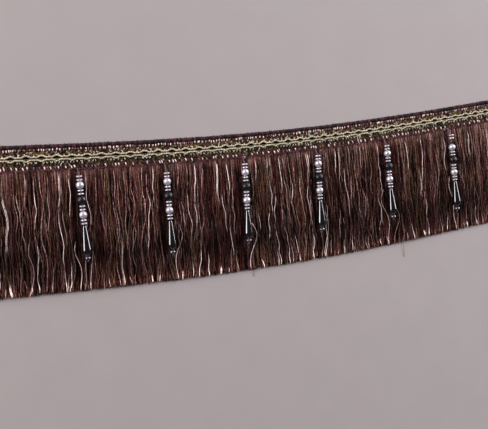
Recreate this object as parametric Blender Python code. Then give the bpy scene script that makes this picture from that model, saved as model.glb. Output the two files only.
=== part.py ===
"""Beaded brush fringe trim: a cut length laid out flat and face up.

A woven heading braid runs along X in a shallow bend, a brush fringe of cut yarns reaches from it towards -Y,
and bead drops sewn to the heading lie on the fringe at even spacing. Metres, +Z up, resting on z = 0.
"""

import math

import bmesh
import bpy
import numpy as np
from mathutils import Vector

# The length and its bend. Distances along the heading are counted from its middle.
DROPS = 8
DROP_PITCH = 0.070
EYES_PER_DROP = 6
EYE_PITCH = DROP_PITCH / EYES_PER_DROP
LENGTH = DROPS * DROP_PITCH
BEND_ANGLE = math.radians(7.0)
BEND_LENGTH = 0.450
SPINE_STEP = 0.001

# Clearance between pieces that touch on the real trim.
GAP = 0.0003

# The heading braid.
HEADING_WIDTH = 0.0218
BRAID_THICK = 0.0014
EDGE_THICK = 0.0011
RIB_TOP = 0.0022
RIB_WIDTH = 0.0020
CORD_TOP = 0.0024
CORD_WIDTH = 0.0018
EYE_OPEN = 0.0012
EYE_CLOSED = 0.0003
EYE_FLOOR = 0.0009
SLIT_FLOOR = 0.0015
LOWER_CORD_SHARE = 0.7
COLUMNS_PER_EYE = 4
EYES_PER_CELL = 2

# The fringe: a sewn strip below the heading, and three-sided locks that lie on the surface.
STRIP_WIDTH = 0.0030
STRIP_THICK = 0.0020
FRINGE_REACH = 0.1063
LOCKS = 240
LOCKS_PER_CELL = 10
LOCK_STEPS = 4
LOCK_SHARE = 0.70
LOCK_TIP_SHARE = 0.62
LOCK_HIGH = 0.0026
LOCK_LOW = 0.0017
LOCK_TIP_HIGH = 0.0013
CUT_UNEVEN = 0.0016
SWAY = 0.0022
SWAY_WAVES = (0.048, 0.113, 0.205)
JITTER = 0.00012
SEED = 11

# The strung beads, as radii and lengths along the thread.
THREAD_R = 0.00045
BORE_R = THREAD_R + GAP
DISC_R = 0.0025
DISC_THICK = 0.0016
DISC_PITCH = 0.0027
PEARL_R = 0.0031
BLACK_R = 0.0038
BLACK_LENGTH = 0.0076
TEAR_R = 0.0042
TEAR_TOP_R = 0.0018
TEAR_SHOULDER = 0.0012
TEAR_LENGTH = 0.0246
END_R = 0.0026
END_LENGTH = 0.0034
FIRST_DISC = 0.0042
THREAD_SEAT = 0.0010
THREAD_TAIL = 0.0007
AXIS_HIGH = 0.0062
AXIS_TILT = math.radians(0.95)
ROUND_SIDES = 10
FACET_SIDES = 8
THREAD_SIDES = 8
MERGE = 0.00001

# One row for each drop, left to right: its slip along the heading from even spacing, the lean of its foot
# towards +X in degrees, the longer thread that it hangs lower by, and the bare thread that has slipped out
# between the top discs and the upper pearl.
DROP_COLUMNS = ("slip", "lean", "fall", "slack")
DROP_ROWS = (
    (-0.0016, 2.2, 0.0, 0.0),
    (-0.0019, 2.9, 0.0, 0.0),
    (-0.0012, 1.0, 0.0018, 0.0),
    (-0.0027, -1.1, 0.0, 0.0),
    (-0.0038, -2.0, 0.0, 0.0),
    (-0.0039, -0.4, 0.0, 0.0),
    (-0.0037, -1.3, 0.0003, 0.0046),
    (-0.0020, -0.8, 0.0, 0.0),
)

BROWN = (0.055, 0.022, 0.018)
DARK_BROWN = (0.035, 0.016, 0.016)
BLACK = (0.006, 0.006, 0.007)
PEARL = (0.72, 0.70, 0.74)
SMOKE = (0.030, 0.028, 0.034)


def clear_scene():
    for obj in list(bpy.data.objects):
        bpy.data.objects.remove(obj, do_unlink=True)


def finish_material(name, colour, roughness, metallic=0.0):
    material = bpy.data.materials.new(name)
    material.use_nodes = True
    shader = material.node_tree.nodes["Principled BSDF"]
    shader.inputs["Base Color"].default_value = (*colour, 1.0)
    shader.inputs["Roughness"].default_value = roughness
    shader.inputs["Metallic"].default_value = metallic
    return material


def heading_angle(along):
    """The heading's direction, which eases from one straight end round to the other."""
    share = np.clip(2 * np.asarray(along) / BEND_LENGTH, -1, 1)
    return 0.5 * BEND_ANGLE * (1.5 * share - 0.5 * share**3)


def spine_table():
    """Points along the heading's middle line, summed from its direction."""
    steps = round(LENGTH / SPINE_STEP)
    along = np.linspace(-LENGTH / 2, LENGTH / 2, steps + 1)
    middle = heading_angle((along[1:] + along[:-1]) / 2)
    x = np.concatenate([[0], np.cumsum(np.cos(middle) * SPINE_STEP)])
    y = np.concatenate([[0], np.cumsum(np.sin(middle) * SPINE_STEP)])
    return along, x - x[steps // 2], y - y[steps // 2]


SPINE_ALONG, SPINE_X, SPINE_Y = spine_table()


def place(along, across, high):
    """A point given by its distance along the heading, towards its upper edge, and above the surface."""
    angle = float(heading_angle(along))
    x = float(np.interp(along, SPINE_ALONG, SPINE_X))
    y = float(np.interp(along, SPINE_ALONG, SPINE_Y))
    return Vector((x - across * math.sin(angle), y + across * math.cos(angle), high))


def row_of(bm, count, across, high):
    """A row of points from one end of the trim to the other. across and high are values or functions."""
    row = []
    for along in np.linspace(-LENGTH / 2, LENGTH / 2, count + 1):
        sideways = across(along) if callable(across) else across
        height = high(along) if callable(high) else high
        row.append(bm.verts.new(place(along, sideways, height)))
    return row


def skin_rows(bm, near, far):
    """Faces between two rows, one of which may have a whole number of times the other's points."""
    cells = min(len(near), len(far)) - 1
    near_step = (len(near) - 1) // cells
    far_step = (len(far) - 1) // cells
    for cell in range(cells):
        near_side = near[cell * near_step : (cell + 1) * near_step + 1]
        far_side = far[cell * far_step : (cell + 1) * far_step + 1]
        bm.faces.new(near_side + far_side[::-1])


def object_from(bm, name, material, parent):
    bmesh.ops.recalc_face_normals(bm, faces=bm.faces)
    mesh = bpy.data.meshes.new(name)
    bm.to_mesh(mesh)
    bm.free()
    return object_of(mesh, name, material, parent)


def object_of(mesh, name, material, parent):
    obj = bpy.data.objects.new(name, mesh)
    bpy.context.scene.collection.objects.link(obj)
    if not mesh.materials:
        mesh.materials.append(material)
    obj.parent = parent
    return obj


def empty_at(name, parent=None):
    empty = bpy.data.objects.new(name, None)
    bpy.context.scene.collection.objects.link(empty)
    empty.parent = parent
    return empty


def eye_share(along):
    """1 in the middle of an eye of the chain, 0 where its two cords meet."""
    return 0.5 - 0.5 * math.cos(2 * math.pi * (along + LENGTH / 2) / EYE_PITCH)


def cord_crest(along):
    return CORD_WIDTH / 2 + EYE_CLOSED + (EYE_OPEN - EYE_CLOSED) * eye_share(along)


def chain_floor(along):
    return SLIT_FLOOR + (EYE_FLOOR - SLIT_FLOOR) * eye_share(along)


def build_heading(parent, material):
    """One woven strip: edge ribs along both sides and the chain of two cords raised in its face."""
    bm = bmesh.new()
    cells = DROPS * EYES_PER_DROP // EYES_PER_CELL
    fine = DROPS * EYES_PER_DROP * COLUMNS_PER_EYE
    edge = HEADING_WIDTH / 2
    rib = edge - RIB_WIDTH / 2
    groove = edge - RIB_WIDTH
    rows = [
        row_of(bm, cells, edge, 0.0),
        row_of(bm, cells, edge, EDGE_THICK),
        row_of(bm, cells, rib, RIB_TOP),
        row_of(bm, cells, groove, BRAID_THICK),
        row_of(bm, fine, lambda s: cord_crest(s) + CORD_WIDTH / 2, BRAID_THICK),
        row_of(bm, fine, cord_crest, CORD_TOP),
        row_of(bm, fine, 0.0, chain_floor),
        row_of(bm, fine, lambda s: -LOWER_CORD_SHARE * cord_crest(s), CORD_TOP),
        row_of(bm, fine, lambda s: -LOWER_CORD_SHARE * cord_crest(s) - CORD_WIDTH / 2, BRAID_THICK),
        row_of(bm, cells, -groove, BRAID_THICK),
        row_of(bm, cells, -rib, RIB_TOP),
        row_of(bm, cells, -edge, EDGE_THICK),
        row_of(bm, cells, -edge, 0.0),
    ]
    for near, far in zip(rows, rows[1:] + rows[:1]):
        skin_rows(bm, near, far)
    bm.faces.new([row[0] for row in rows])
    bm.faces.new([row[-1] for row in rows])
    return object_from(bm, "heading", material, parent)


def sway(along, share):
    """How far the locks have drifted sideways at a share of their length, alike for neighbours."""
    drift = sum(math.sin(2 * math.pi * along / wave + 9 * wave / SWAY_WAVES[0]) for wave in SWAY_WAVES)
    ripple = math.sin(2 * math.pi * (1.3 * share + along / SWAY_WAVES[1]))
    return SWAY * share * (drift / len(SWAY_WAVES) + 0.35 * ripple)


def lock_ring(bm, along, across, width, high):
    """The three corners of a lock: two on the surface and one on top."""
    half = width / 2
    return [
        bm.verts.new(place(along - half, across, 0.0)),
        bm.verts.new(place(along + half, across, 0.0)),
        bm.verts.new(place(along, across, high)),
    ]


def grow_lock(bm, root, along, draw):
    """Lofts one lock from its root triangle on the strip to its cut tip."""
    pitch = LENGTH / LOCKS
    start = -HEADING_WIDTH / 2 - GAP - STRIP_WIDTH
    tip = -FRINGE_REACH + CUT_UNEVEN * draw.uniform(-1, 1)
    ring = root
    for step in range(1, LOCK_STEPS + 1):
        share = step / LOCK_STEPS
        last = step == LOCK_STEPS
        width = pitch * (LOCK_TIP_SHARE if last else LOCK_SHARE)
        high = LOCK_TIP_HIGH if last else draw.uniform(LOCK_LOW, LOCK_HIGH)
        shift = sway(along, share) + JITTER * draw.uniform(-1, 1)
        following = lock_ring(bm, along + shift, start + (tip - start) * share, width, high)
        for side in range(3):
            after = (side + 1) % 3
            bm.faces.new((ring[side], ring[after], following[after], following[side]))
        ring = following
    bm.faces.new(ring)


def build_fringe(parent, material):
    """The sewn strip, with every lock's root fused into its lower face."""
    bm = bmesh.new()
    draw = np.random.default_rng(SEED)
    cells = LOCKS // LOCKS_PER_CELL
    upper = -HEADING_WIDTH / 2 - GAP
    lower = upper - STRIP_WIDTH
    back_floor = row_of(bm, cells, upper, 0.0)
    back_top = row_of(bm, cells, upper, STRIP_THICK)
    skin_rows(bm, back_floor, back_top)
    pitch = LENGTH / LOCKS
    bounds_floor = row_of(bm, cells, lower, 0.0)
    bounds_top = row_of(bm, cells, lower, STRIP_THICK)
    for cell in range(cells):
        floor_edge = [bounds_floor[cell]]
        top_edge = [bounds_top[cell]]
        last_right, last_top = bounds_floor[cell], bounds_top[cell]
        for index in range(cell * LOCKS_PER_CELL, (cell + 1) * LOCKS_PER_CELL):
            along = -LENGTH / 2 + (index + 0.5) * pitch
            root = lock_ring(bm, along, lower, pitch * LOCK_SHARE, STRIP_THICK)
            bm.faces.new((last_top, last_right, root[0], root[2]))
            grow_lock(bm, root, along, draw)
            floor_edge += root[:2]
            top_edge.append(root[2])
            last_right, last_top = root[1], root[2]
        bm.faces.new((last_top, last_right, bounds_floor[cell + 1], bounds_top[cell + 1]))
        floor_edge.append(bounds_floor[cell + 1])
        top_edge.append(bounds_top[cell + 1])
        bm.faces.new(floor_edge + back_floor[cell : cell + 2][::-1])
        bm.faces.new(top_edge + back_top[cell : cell + 2][::-1])
    for end in (0, -1):
        bm.faces.new((back_floor[end], back_top[end], bounds_top[end], bounds_floor[end]))
    return object_from(bm, "fringe", material, parent)


def arc_points(radius, count, start, end, centre=0.0, stretch=1.0):
    """Outline points (out, up) on a circle, by angle from the top of the axis."""
    angles = np.linspace(start, end, count)
    return [(radius * math.sin(a), centre + stretch * radius * math.cos(a)) for a in angles]


def bored_ball(radius, length, count):
    """A round bead's outline, from its upper hole down its side to its lower hole."""
    stretch = length / 2 / (radius * math.cos(math.asin(BORE_R / radius)))
    start = math.asin(BORE_R / radius)
    return arc_points(radius, count, start, math.pi - start, stretch=stretch)


def teardrop_outline():
    """A rounded top, a cone and a round foot, from the upper hole down to the lower hole."""
    centre = -(TEAR_LENGTH - TEAR_R)
    slope = math.asin((TEAR_R - TEAR_TOP_R) / (-centre - TEAR_SHOULDER))
    touch = math.pi / 2 - slope
    hole = math.pi - math.asin(BORE_R / TEAR_R)
    top = [(BORE_R, 0.0), (TEAR_TOP_R * 0.62, 0.0), (TEAR_TOP_R, -TEAR_SHOULDER)]
    return top + arc_points(TEAR_R, 6, touch, hole, centre)


def turned_mesh(name, outline):
    """An outline's edges, closed through the bore, for a Screw modifier to turn."""
    count = len(outline)
    mesh = bpy.data.meshes.new(name)
    points = [(out, 0.0, up) for out, up in outline]
    mesh.from_pydata(points, [(i, (i + 1) % count) for i in range(count)], [])
    return mesh


def turn(obj, sides):
    screw = obj.modifiers.new("turn", "SCREW")
    screw.steps = sides
    screw.render_steps = sides
    screw.use_merge_vertices = True
    screw.merge_threshold = MERGE
    return obj


def string_stations(fall, slack):
    """Places along the thread, counted down from the top disc: disc pairs by their first disc, then beads.

    "edge" is how far above the top disc the heading's edge lies.
    """
    half_disc = DISC_THICK / 2
    stations = {"edge": FIRST_DISC + fall, "pairs": [0.0]}
    down = DISC_PITCH + half_disc + GAP + slack
    for bead, length in (("pearl_upper", 2 * PEARL_R), ("black_bead", BLACK_LENGTH), ("pearl_lower", 2 * PEARL_R)):
        stations[bead] = down + length / 2
        down += length + GAP + half_disc
        stations["pairs"].append(down)
        down += DISC_PITCH + half_disc + GAP
    stations["teardrop"] = down
    down += TEAR_LENGTH + GAP
    stations["end_bead"] = down + END_LENGTH / 2
    stations["foot"] = down + END_LENGTH + THREAD_TAIL
    return stations


def thread_outline(stations):
    """The thread's outline with its spacer discs, from the upper end to the foot."""
    edge = stations["edge"]
    upper = edge + THREAD_SEAT
    outline = [(0.0, upper), (THREAD_R, upper), (THREAD_R, edge), (THREAD_R, edge / 2)]
    for first in stations["pairs"]:
        for centre in (-first, -first - DISC_PITCH):
            outline.append((THREAD_R, centre + DISC_THICK / 2))
            outline.append((DISC_R, centre))
        outline.append((THREAD_R, -first - DISC_PITCH - DISC_THICK / 2))
    outline += [(THREAD_R, -stations["foot"]), (0.0, -stations["foot"])]
    return outline


def build_thread(name, stations, parent, material):
    """Spins the outline, then bends the bare upper end down onto the heading's lower rib."""
    bm = bmesh.new()
    points = [bm.verts.new((out, 0.0, up)) for out, up in thread_outline(stations)]
    edges = [bm.edges.new(pair) for pair in zip(points, points[1:])]
    bmesh.ops.spin(
        bm, geom=points + edges, cent=(0, 0, 0), axis=(0, 0, 1), angle=2 * math.pi, steps=THREAD_SIDES
    )
    bmesh.ops.remove_doubles(bm, verts=bm.verts, dist=MERGE)
    edge = stations["edge"]
    seat = RIB_TOP + GAP + THREAD_R
    free = DISC_THICK / 2
    descent = AXIS_HIGH - (edge + THREAD_SEAT) * math.sin(AXIS_TILT) - seat
    for vert in bm.verts:
        share = max(0.0, min(1.0, (vert.co.z - free) / (edge - free)))
        vert.co.y += descent * share
    return object_from(bm, name, material, parent)


def build_drop(number, row, meshes, materials, parent):
    """A hanger empty on the drop's axis with its local Z pointing back up the thread, and the pieces on it."""
    slip, lean, fall, slack = (row[DROP_COLUMNS.index(column)] for column in DROP_COLUMNS)
    along = (number - (DROPS - 1) / 2) * DROP_PITCH + slip
    hanger = empty_at(f"hanger_{number + 1}", parent)
    stations = string_stations(fall, slack)
    hanger.location = place(along, -HEADING_WIDTH / 2 - stations["edge"], AXIS_HIGH)
    turn_in_plane = float(heading_angle(along)) + math.radians(lean)
    hanger.rotation_euler = (-math.pi / 2 - AXIS_TILT, 0.0, turn_in_plane)
    build_thread(f"thread_{number + 1}", stations, hanger, materials["thread"])
    for piece, mesh, sides, finish in meshes:
        bead = turn(object_of(mesh, f"{piece}_{number + 1}", materials[finish], hanger), sides)
        bead.location.z = -stations[piece]


def centre_on_origin(trim):
    """Moves the whole trim so that the middle of its box's lower face is the origin."""
    bpy.context.view_layer.update()
    graph = bpy.context.evaluated_depsgraph_get()
    corners = []
    for obj in bpy.context.scene.objects:
        if obj.type == "MESH":
            evaluated = obj.evaluated_get(graph)
            corners += [evaluated.matrix_world @ vert.co for vert in evaluated.data.vertices]
    for axis in range(2):
        values = [corner[axis] for corner in corners]
        trim.location[axis] = -(min(values) + max(values)) / 2


def main():
    clear_scene()
    materials = {
        "heading": finish_material("woven_heading", DARK_BROWN, 0.85),
        "fringe": finish_material("cut_yarn", BROWN, 0.80),
        "thread": finish_material("thread_and_silver_discs", PEARL, 0.30, 0.6),
        "pearl": finish_material("pearl_coating", PEARL, 0.20),
        "black": finish_material("black_glass", BLACK, 0.08),
        "smoke": finish_material("smoke_glass", SMOKE, 0.10),
    }
    trim = empty_at("trim")
    build_heading(trim, materials["heading"])
    build_fringe(trim, materials["fringe"])
    pearl = turned_mesh("pearl", bored_ball(PEARL_R, 2 * PEARL_R, 5))
    meshes = (
        ("pearl_upper", pearl, ROUND_SIDES, "pearl"),
        ("black_bead", turned_mesh("black_bead", bored_ball(BLACK_R, BLACK_LENGTH, 6)), FACET_SIDES, "black"),
        ("pearl_lower", pearl, ROUND_SIDES, "pearl"),
        ("teardrop", turned_mesh("teardrop", teardrop_outline()), ROUND_SIDES, "black"),
        ("end_bead", turned_mesh("end_bead", bored_ball(END_R, END_LENGTH, 5)), FACET_SIDES, "smoke"),
    )
    for number, row in enumerate(DROP_ROWS):
        build_drop(number, row, meshes, materials, trim)
    centre_on_origin(trim)


main()
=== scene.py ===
"""Looks of a beaded brush fringe trim: woven braid heading, cut brush fringe and strung bead drops.

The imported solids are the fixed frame. Every piece here stands for one of their nodes and lies where it lies.
Distances along the trim are counted from its middle, and across it from the heading's middle line towards
its upper edge. Metres, +Z up, resting on z = 0.
"""

import math

import bpy
import numpy as np
from bpy.props import (
    FloatProperty,
    FloatVectorProperty,
    IntProperty,
    PointerProperty,
)
from mathutils import Euler, Matrix, Vector


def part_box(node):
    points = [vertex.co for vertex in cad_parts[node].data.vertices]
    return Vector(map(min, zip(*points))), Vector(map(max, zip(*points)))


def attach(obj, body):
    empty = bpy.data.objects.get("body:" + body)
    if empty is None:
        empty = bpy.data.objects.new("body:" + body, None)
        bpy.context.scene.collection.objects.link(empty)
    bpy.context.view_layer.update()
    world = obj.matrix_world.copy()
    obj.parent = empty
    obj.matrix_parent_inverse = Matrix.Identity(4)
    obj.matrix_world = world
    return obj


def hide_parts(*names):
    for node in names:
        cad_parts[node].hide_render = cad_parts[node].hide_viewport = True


bl_info = {
    "name": "Beaded Brush Fringe Trim",
    "version": (1, 0, 0),
    "blender": (4, 5, 0),
    "location": "View3D > Sidebar > Trim",
    "description": "Dresses a laid-out length of beaded brush fringe trim",
    "category": "Object",
}

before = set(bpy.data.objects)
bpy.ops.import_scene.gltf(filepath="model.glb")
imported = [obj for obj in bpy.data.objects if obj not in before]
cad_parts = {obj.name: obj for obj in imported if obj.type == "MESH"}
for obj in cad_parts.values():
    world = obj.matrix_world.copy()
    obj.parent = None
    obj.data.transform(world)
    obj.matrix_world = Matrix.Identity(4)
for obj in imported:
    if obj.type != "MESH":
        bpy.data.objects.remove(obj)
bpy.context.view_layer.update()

# The length and its bend, as in the solids, the clearance between pieces, and the points along one stitch.
DROPS = 8
DROP_PITCH = 0.070
EYES_PER_DROP = 6
EYE_PITCH = DROP_PITCH / EYES_PER_DROP
LENGTH = DROPS * DROP_PITCH
BEND_ANGLE = math.radians(7.0)
BEND_LENGTH = 0.450
SPINE_STEP = 0.001
GAP = 0.0003
STITCH_STEPS = 5

# The heading and the fringe.
HEADING_WIDTH = 0.0218
RIB_TOP = 0.0022
STRIP_WIDTH = 0.0030
FRINGE_REACH = 0.1063
SWAY = 0.0022
SWAY_WAVES = (0.048, 0.113, 0.205)

# The strung beads.
THREAD_R = 0.00045
DISC_THICK = 0.0016
DISC_PITCH = 0.0027
PEARL_R = 0.0031
BLACK_R = 0.0038
BLACK_LENGTH = 0.0076
TEAR_R = 0.0042
TEAR_TOP_R = 0.0018
TEAR_SHOULDER = 0.0012
TEAR_LENGTH = 0.0246
END_R = 0.0026
END_LENGTH = 0.0034
FIRST_DISC = 0.0042
THREAD_SEAT = 0.0010
THREAD_TAIL = 0.0007
AXIS_HIGH = 0.0062
AXIS_TILT = math.radians(0.95)

# One row for each drop, left to right: its slip along the heading from even spacing, the lean of its foot
# towards +X in degrees, the longer thread that it hangs lower by, and the bare thread that has slipped out
# between the top discs and the upper pearl.
DROP_COLUMNS = ("slip", "lean", "fall", "slack")
DROP_ROWS = (
    (-0.0016, 2.2, 0.0, 0.0),
    (-0.0019, 2.9, 0.0, 0.0),
    (-0.0012, 1.0, 0.0018, 0.0),
    (-0.0027, -1.1, 0.0, 0.0),
    (-0.0038, -2.0, 0.0, 0.0),
    (-0.0039, -0.4, 0.0, 0.0),
    (-0.0037, -1.3, 0.0003, 0.0046),
    (-0.0020, -0.8, 0.0, 0.0),
)

UP = np.array([0.0, 0.0, 1.0])


def linear(code):
    """An sRGB hex colour as the linear red, green and blue that Blender works in."""
    channels = [int(code[i : i + 2], 16) / 255 for i in (1, 3, 5)]
    return tuple(c / 12.92 if c <= 0.04045 else ((c + 0.055) / 1.055) ** 2.4 for c in channels)


def opaque(colour):
    """A colour with full alpha, as sockets and ramps want it."""
    return (*tuple(colour)[:3], 1.0)


# Places on the trim.


def heading_angle(along):
    """The heading's direction, which eases from one straight end round to the other."""
    share = np.clip(2 * np.asarray(along) / BEND_LENGTH, -1, 1)
    return 0.5 * BEND_ANGLE * (1.5 * share - 0.5 * share**3)


def spine_table():
    """Points along the heading's middle line, summed from its direction."""
    steps = round(LENGTH / SPINE_STEP)
    along = np.linspace(-LENGTH / 2, LENGTH / 2, steps + 1)
    middle = heading_angle((along[1:] + along[:-1]) / 2)
    x = np.concatenate([[0], np.cumsum(np.cos(middle) * SPINE_STEP)])
    y = np.concatenate([[0], np.cumsum(np.sin(middle) * SPINE_STEP)])
    return along, x - x[steps // 2], y - y[steps // 2]


SPINE_ALONG, SPINE_X, SPINE_Y = spine_table()


def frame_shift():
    """Where the heading's middle point stands in the frame, from the heading node's box."""
    low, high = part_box("heading")
    sideways = (low[0] + high[0]) / 2
    angle = float(heading_angle(0.0))
    return np.array([sideways, low[1] + HEADING_WIDTH / 2 * math.cos(angle), 0.0])


SHIFT = frame_shift()


def place(along, across, high):
    """Points given by distances along and across the heading and above the surface, as an array."""
    along, across, high = np.broadcast_arrays(*(np.asarray(v, float) for v in (along, across, high)))
    angle = heading_angle(along)
    inside = np.clip(along, -LENGTH / 2, LENGTH / 2)
    beyond = along - inside
    x = np.interp(inside, SPINE_ALONG, SPINE_X) + beyond * np.cos(angle)
    y = np.interp(inside, SPINE_ALONG, SPINE_Y) + beyond * np.sin(angle)
    points = np.stack([x - across * np.sin(angle), y + across * np.cos(angle), high], axis=-1)
    return points + SHIFT


def drop_values(number):
    """One drop's row of the table by its column names."""
    return dict(zip(DROP_COLUMNS, DROP_ROWS[number]))


def drop_along(number):
    """Where along the heading a drop is sewn on."""
    return (number - (DROPS - 1) / 2) * DROP_PITCH + drop_values(number)["slip"]


def string_stations(number):
    """Places along a drop's thread, counted down from the top disc: disc pairs by their first disc, then beads.

    "edge" is how far above the top disc the heading's edge lies.
    """
    values = drop_values(number)
    half_disc = DISC_THICK / 2
    stations = {"edge": FIRST_DISC + values["fall"], "pairs": [0.0]}
    down = DISC_PITCH + half_disc + GAP + values["slack"]
    for bead, length in (("pearl_upper", 2 * PEARL_R), ("black_bead", BLACK_LENGTH), ("pearl_lower", 2 * PEARL_R)):
        stations[bead] = down + length / 2
        down += length + GAP + half_disc
        stations["pairs"].append(down)
        down += DISC_PITCH + half_disc + GAP
    stations["teardrop"] = down
    down += TEAR_LENGTH + GAP
    stations["end_bead"] = down + END_LENGTH / 2
    stations["foot"] = down + END_LENGTH + THREAD_TAIL
    return stations


def drop_matrix(number):
    """The frame of one drop: its origin is the top disc and its Z points back up the thread."""
    along = drop_along(number)
    origin = place(along, -HEADING_WIDTH / 2 - string_stations(number)["edge"], AXIS_HIGH)
    turn = float(heading_angle(along)) + math.radians(drop_values(number)["lean"])
    spin = Euler((-math.pi / 2 - AXIS_TILT, 0.0, turn))
    return Matrix.Translation(Vector(origin)) @ spin.to_matrix().to_4x4()


def eye_share(along):
    """1 in the middle of an eye of the chain, 0 where its two cords meet."""
    return 0.5 - 0.5 * np.cos(2 * math.pi * (np.asarray(along) + LENGTH / 2) / EYE_PITCH)


def sway(along, share):
    """How far the yarns have drifted sideways at a share of their length, alike for neighbours."""
    drift = sum(np.sin(2 * math.pi * along / wave + 9 * wave / SWAY_WAVES[0]) for wave in SWAY_WAVES)
    ripple = np.sin(2 * math.pi * (1.3 * share + along / SWAY_WAVES[1]))
    return SWAY * share * (drift / len(SWAY_WAVES) + 0.35 * ripple)


# Meshes.


def deselect():
    """Leaves edit mode and deselects everything, the frame's nodes too."""
    if bpy.context.mode != "OBJECT":
        bpy.ops.object.mode_set(mode="OBJECT")
    bpy.ops.object.select_all(action="DESELECT")


def mesh_piece(name, points, faces, uv, material):
    """A piece from arrays: points, faces as rows of one length each, and a UV pair for each face corner."""
    mesh = bpy.data.meshes.new(name)
    mesh.vertices.add(len(points))
    mesh.vertices.foreach_set("co", np.ascontiguousarray(points, np.float32).ravel())
    corners = np.concatenate([rows.ravel() for rows in faces]).astype(np.int32)
    sizes = np.concatenate([np.full(len(rows), rows.shape[1]) for rows in faces])
    starts = np.concatenate([[0], np.cumsum(sizes)[:-1]]).astype(np.int32)
    mesh.loops.add(len(corners))
    mesh.loops.foreach_set("vertex_index", corners)
    mesh.polygons.add(len(sizes))
    mesh.polygons.foreach_set("loop_start", starts)
    layer = mesh.uv_layers.new(name="UVMap")
    layer.data.foreach_set("uv", np.ascontiguousarray(uv, np.float32).ravel())
    mesh.update(calc_edges=True)
    mesh.validate()
    mesh.polygons.foreach_set("use_smooth", np.ones(len(mesh.polygons), bool))
    mesh.materials.append(material)
    obj = bpy.data.objects.new(name, mesh)
    bpy.context.scene.collection.objects.link(obj)
    return obj


def yarn_piece(name, paths, radii, keys, sides, material):
    """Many yarns as one piece. paths is yarn by point by xyz, radii yarn by point, keys one number a yarn.

    The UV map holds the yarn's key across and the share of its length along, for its material to read.
    """
    count, steps = paths.shape[:2]
    radii = np.broadcast_to(radii, (count, steps))
    tangent = np.gradient(paths, axis=1)
    tangent /= np.linalg.norm(tangent, axis=2, keepdims=True)
    side = np.cross(tangent, UP)
    side /= np.maximum(np.linalg.norm(side, axis=2, keepdims=True), 1e-9)
    rise = np.cross(side, tangent)
    angle = 2 * math.pi * np.arange(sides) / sides + math.pi / 2
    ring = np.cos(angle)[:, None] * side[:, :, None, :] + np.sin(angle)[:, None] * rise[:, :, None, :]
    points = (paths[:, :, None, :] + radii[:, :, None, None] * ring).reshape(-1, 3)

    index = np.arange(count * steps * sides).reshape(count, steps, sides)
    after = np.roll(index, -1, axis=2)
    walls = np.stack([index[:, :-1], index[:, 1:], after[:, 1:], after[:, :-1]], axis=-1).reshape(-1, 4)
    ends = np.concatenate([index[:, 0], index[:, -1, ::-1]])

    share = np.linspace(0, 1, steps)
    low, high = share[:-1], share[1:]
    wall_share = np.stack([low, high, high, low], axis=-1)
    wall_share = np.broadcast_to(wall_share[None, :, None, :], (count, steps - 1, sides, 4)).ravel()
    wall_key = np.repeat(keys, (steps - 1) * sides * 4)
    end_share = np.repeat([0.0, 1.0], count * sides)
    end_key = np.tile(np.repeat(keys, sides), 2)
    uv = np.stack([np.concatenate([wall_key, end_key]), np.concatenate([wall_share, end_share])], axis=-1)
    return mesh_piece(name, points, [walls, ends], uv, material)


def plied(path, plies, offset, pitch, start=0.0):
    """The plies of a twisted cord that follows one path: each winds round it once in a pitch."""
    step = np.linalg.norm(np.diff(path, axis=0), axis=1)
    length = np.concatenate([[0], np.cumsum(step)])
    tangent = np.gradient(path, axis=0)
    tangent /= np.linalg.norm(tangent, axis=1, keepdims=True)
    side = np.cross(tangent, UP)
    side /= np.linalg.norm(side, axis=1, keepdims=True)
    rise = np.cross(side, tangent)
    turns = start + 2 * math.pi * length / pitch
    found = []
    for ply in range(plies):
        angle = turns + 2 * math.pi * ply / plies
        found.append(path + offset * (np.cos(angle)[:, None] * side + np.sin(angle)[:, None] * rise))
    return np.stack(found)


def stitches(along, across, reach, slant, high, lift, radius):
    """Short raised stitches over the braid, each an arch from one end to the other across the heading."""
    share = np.linspace(-0.5, 0.5, STITCH_STEPS)
    arch = 1 - (2 * share) ** 2
    run = np.broadcast_to(reach, along.shape)
    paths = place(
        along[:, None] + (slant * run)[:, None] * share,
        (across + np.zeros_like(along))[:, None] + run[:, None] * share,
        high + lift * arch,
    )
    radii = np.broadcast_to(radius, along.shape)[:, None] * (0.55 + 0.45 * arch)
    return paths, radii


def ride(piece, slot, *nodes):
    """Puts a piece on the root body, in place of the nodes that it stands for."""
    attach(piece, "root")
    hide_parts(*nodes)
    return piece


# Materials.


def add_node(tree, kind, settings=None, inputs=None, stops=None):
    """Adds a shader node, sets its properties, fills or links its inputs, and sets a ramp's stops."""
    node = tree.nodes.new("ShaderNode" + kind)
    for name, value in (settings or {}).items():
        setattr(node, name, value)
    for name, value in (inputs or {}).items():
        if isinstance(value, bpy.types.NodeSocket):
            tree.links.new(value, node.inputs[name])
        else:
            node.inputs[name].default_value = value
    if stops:
        elements = node.color_ramp.elements
        while len(elements) < len(stops):
            elements.new(0.5)
        for element, (spot, colour) in zip(elements, stops):
            element.position = spot
            element.color = opaque(colour)
    return node


def new_material(name, **sockets):
    """A material with its Principled shader's own sockets set. Returns it, its tree and the shader."""
    material = bpy.data.materials.new(name)
    material.use_nodes = True
    shader = material.node_tree.nodes["Principled BSDF"]
    for socket, value in sockets.items():
        shader.inputs[socket.replace("_", " ")].default_value = value
    return material, material.node_tree, shader


def tone_key(colour, tone, palette):
    """A yarn's key: which colour of the palette it takes, and how light it is, both from 0.

    A margin of 0.04 on each side keeps it clear of the next colour's keys.
    """
    return (np.asarray(colour) + 0.04 + 0.92 * np.clip(tone, 0, 1)) / len(palette)


# No painted shade along a yarn: the same tone from root to tip.
EVEN = ((0.0, 1.0), (1.0, 1.0))

# A step between two yarns' keys moves them this far apart in the noise, so that no two share their streaks.
STREAK_SHIFT = 977.0

# Patches of painted shade in the fringe are 9 mm wide along the trim and 22 mm long down the yarns, counted to the
# metre.
PAINTED_SHADE_PATCHES = (110.0, 45.0, 0.0)


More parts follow.
